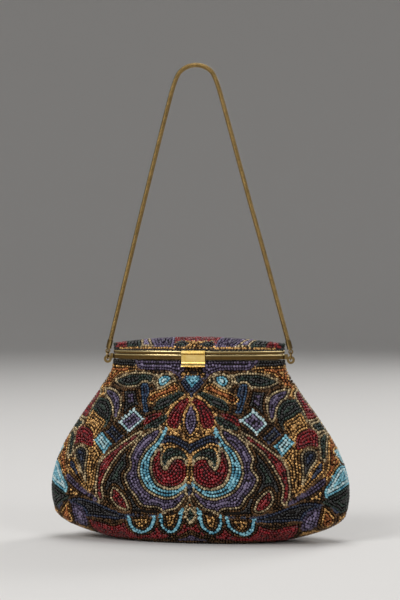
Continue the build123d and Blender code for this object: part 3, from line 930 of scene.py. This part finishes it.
# Lid: a stiff buckram former, domed both ways and cut to the frame's outline, covered with
# dark cloth and the same beads, and set into the upper rail.
cover_low, cover_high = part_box("lid_cover")
lid_setback = mouth_half_length - cover_high.x
lid_edge_height = 1.2 * mm
dome_half_length = cover_high.x
dome_half_depth = cover_high.y
dome_fall = cover_high.z - cover_low.z - lid_edge_height
dome_arc_radius = (dome_half_depth**2 + dome_fall**2) / (2 * dome_fall)
dome_axis_height = cover_high.z - dome_arc_radius
ridge_fall = 5.2 * mm
dome_ridge_radius = (dome_half_length**2 + ridge_fall**2) / (2 * ridge_fall)
lid_cloth_inset = 1.4 * mm
lid_cloth_wall = 0.7 * mm
lid_cloth_columns = 97
lid_cloth_rows = 33
lid_pattern_columns = 181
lid_pattern_rows = 121
lid_wall_rows = 20
lid_motifs = [
    ("border", "left", True, "black green", []),
    ("gold_row", "left", True, "gold",
     [(120, 325), (205, 325), (205, 348.6), (120, 348.6)]),
    ("red_end", "left", False, "red crimson",
     [(116, 347), (119, 342), (127, 338.5), (129, 346.5), (121, 347.5)]),
    ("dark_end", "left", True, "green black",
     [(126, 330), (139, 330), (141, 347), (128, 347)]),
    ("grey", "left", True, "beige lavender",
     [(139, 330), (147, 330), (154, 347), (141, 347)]),
    ("purple", "left", True, "lavender purple",
     [(147, 330), (176, 330), (174, 347), (154, 347)]),
    ("arch", "left", True, "crimson red",
     [(176, 330), (198, 330), (198, 342), (188, 341), (178, 341), (174, 345)]),
    ("oval", "left", False, "black green",
     [(174, 345), (179, 341.5), (186, 341.5), (189, 344.5), (184, 347), (178, 347)]),
    ("cross", "left", True, "gold beige",
     [(187, 347), (194, 340.5), (199, 347)]),
]


def lid_reach(x):
    """Half depth of the lid's outline at x, set back from the frame's edge."""
    end_radius = mouth_end_radius - lid_setback
    bow_radius = mouth_bow_radius - lid_setback
    join = mouth_end_centre * bow_radius / (mouth_bow_radius - mouth_end_radius)
    bow = np.sqrt(bow_radius**2 - np.minimum(np.abs(x), bow_radius) ** 2) - mouth_bow_centre
    past_centre = np.clip(np.abs(x) - mouth_end_centre, 0, end_radius)
    return np.where(np.abs(x) < join, bow, np.sqrt(end_radius**2 - past_centre**2))


def lid_surface(lengths, depths):
    """Grid of points on the dome, by shares of its half length and of its outline's depth."""
    x = dome_half_length * np.sin(lengths * math.pi / 2)[:, None]
    y = lid_reach(x) * depths
    ridge = np.sqrt(dome_ridge_radius**2 - x**2) - dome_ridge_radius + dome_arc_radius
    z = dome_axis_height + np.sqrt(ridge**2 - y**2)
    return np.stack([np.broadcast_to(x, y.shape), y, z], axis=-1)


lid_cloth_points = lid_surface(
    np.linspace(-1, 1, lid_cloth_columns), np.linspace(-1, 1, lid_cloth_rows)
)
lid_cloth_points = lid_cloth_points - lid_cloth_inset * np.array([0, 0, 1])
lid_skirt = lid_cloth_points[:, [0, -1]].copy()
lid_skirt[..., 2] = cover_low.z
lid_cloth_points = np.concatenate([lid_skirt[:, :1], lid_cloth_points, lid_skirt[:, 1:]], axis=1)
lid_cloth = mesh_object(
    "lid_cloth",
    lid_cloth_points.reshape(-1, 3).tolist(),
    [],
    [face[::-1] for face in grid_faces(lid_cloth_columns, lid_cloth_points.shape[1])],
)
lid_wall = lid_cloth.modifiers.new("wall", "SOLIDIFY")
lid_wall.thickness = lid_cloth_wall
lid_wall.offset = -1
lid_cloth.data.materials.append(panel_cloth)
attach(lid_cloth, "lid")
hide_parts("lid_cover")

lid_left = lid_surface(
    np.linspace(0, -1, lid_pattern_columns), np.linspace(-1, 1, lid_pattern_rows)
)
lid_wall_shares = np.linspace(1, 0, lid_wall_rows + 1)[:-1, None]
lid_drop = lid_wall_shares * np.array([0, 0, 1]) * (lid_left[:, :1, 2:] - cover_low.z)
lid_front_wall = lid_left[:, :1] - lid_drop
lid_back_wall = lid_left[:, -1:] - lid_drop[:, ::-1]
lid_left = np.concatenate([lid_front_wall, lid_left, lid_back_wall], axis=1)
lid_seen = lid_left.copy()
lid_seen[..., 1] = -np.abs(lid_seen[..., 1])
lid_left_painted = paint_motifs(lid_motifs, lid_seen)
lid_left_distance = edge_distance(
    lid_left_painted, lid_left, [lid_left[:, 0], lid_left[:, -1]]
)
lid_points = both_halves(lid_left, lid_left * left_to_right)
lid_points = lid_points + (bead_lift - lid_cloth_inset) * outward_normals(lid_points, (0, 0, 1))
lid_lines = bead_lines(
    lid_motifs,
    both_halves(lid_left_painted, lid_left_painted),
    both_halves(lid_left_distance, lid_left_distance),
    lid_points,
)
sew_beads("lid", lid_lines, "lid", as_drawn)

# Coarse open cotton, sized hard, so it is matt with threads that show
buckram, _ = woven_cloth(
    "stiffened_buckram", dark="#8D7F69", light="#B3A68E", thread_spacing=0.8 * mm, roughness=0.85
)
give_finish("lid_former", buckram)

# Snake chain: a round chain of close-fitting curved links, gold plated, soldered into a cap at
# each end. It is held up by its middle, so its two legs are straight.
chain_radius = 1.95 * mm
chain_link_pitch = 1.15 * mm
chain_link_sides = 10
chain_link_length = 1.1 * chain_link_pitch
chain_link_profile_shares = [(0.86, -1), (1, -0.4), (1, 0.4), (0.86, 1)]
cap_depth = 5 * mm
# Millimetres to the right and up, from one end cap to the other
chain_route = [
    (-56.5, 222.0),
    (-40.5, 286.0),
    (-27.5, 337.0),
    (-18.6, 370.2),
    (-11.9, 377.1),
    (-2.6, 379.6),
    (6.8, 377.2),
    (13.6, 370.5),
    (23.5, 335.0),
    (39.5, 276.0),
    (56.5, 216.0),
]
chain_points = [Vector((x * mm, 0, z * mm)) for x, z in chain_route]
ring_wire_radius = 0.55 * mm
for node_name, neighbour, place in (
    ("left_jump_ring", chain_points[0], 0),
    ("right_jump_ring", chain_points[-1], len(chain_points) + 1),
):
    ring_low, ring_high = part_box(node_name)
    tab = Vector(((ring_low.x + ring_high.x) / 2, 0, ring_high.z - ring_wire_radius))
    chain_points.insert(place, tab + (neighbour - tab).normalized() * cap_depth)
chain_curve = bpy.data.curves.new("chain_line", "CURVE")
chain_curve.dimensions = "3D"
chain_spline = chain_curve.splines.new("NURBS")
chain_spline.points.add(len(chain_points) - 1)
for control, point in zip(chain_spline.points, chain_points):
    control.co = (*point, 1)
chain_spline.order_u = 3
chain_spline.use_endpoint_u = True
chain_spline.resolution_u = 16
chain_line = bpy.data.objects.new("chain_line", chain_curve)
scene.collection.objects.link(chain_line)
chain_mesh = bpy.data.meshes.new_from_object(
    chain_line.evaluated_get(bpy.context.evaluated_depsgraph_get())
)
chain_path = [tuple(v.co) for v in chain_mesh.vertices]
bpy.data.objects.remove(chain_line)
chain = mesh_object("chain", chain_path, [(i, i + 1) for i in range(len(chain_path) - 1)], [])
chain_link = barrel(
    "chain_link", chain_radius, chain_link_length, chain_link_sides, chain_link_profile_shares
)
string_on_lines(
    chain,
    piece=chain_link,
    pitch=chain_link_pitch,
    least_size=1.0,
    seed=bead_seed,
    material=worn_gilt,
)
bpy.data.objects.remove(chain_link)
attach(chain, "handle")
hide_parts("snake_chain")
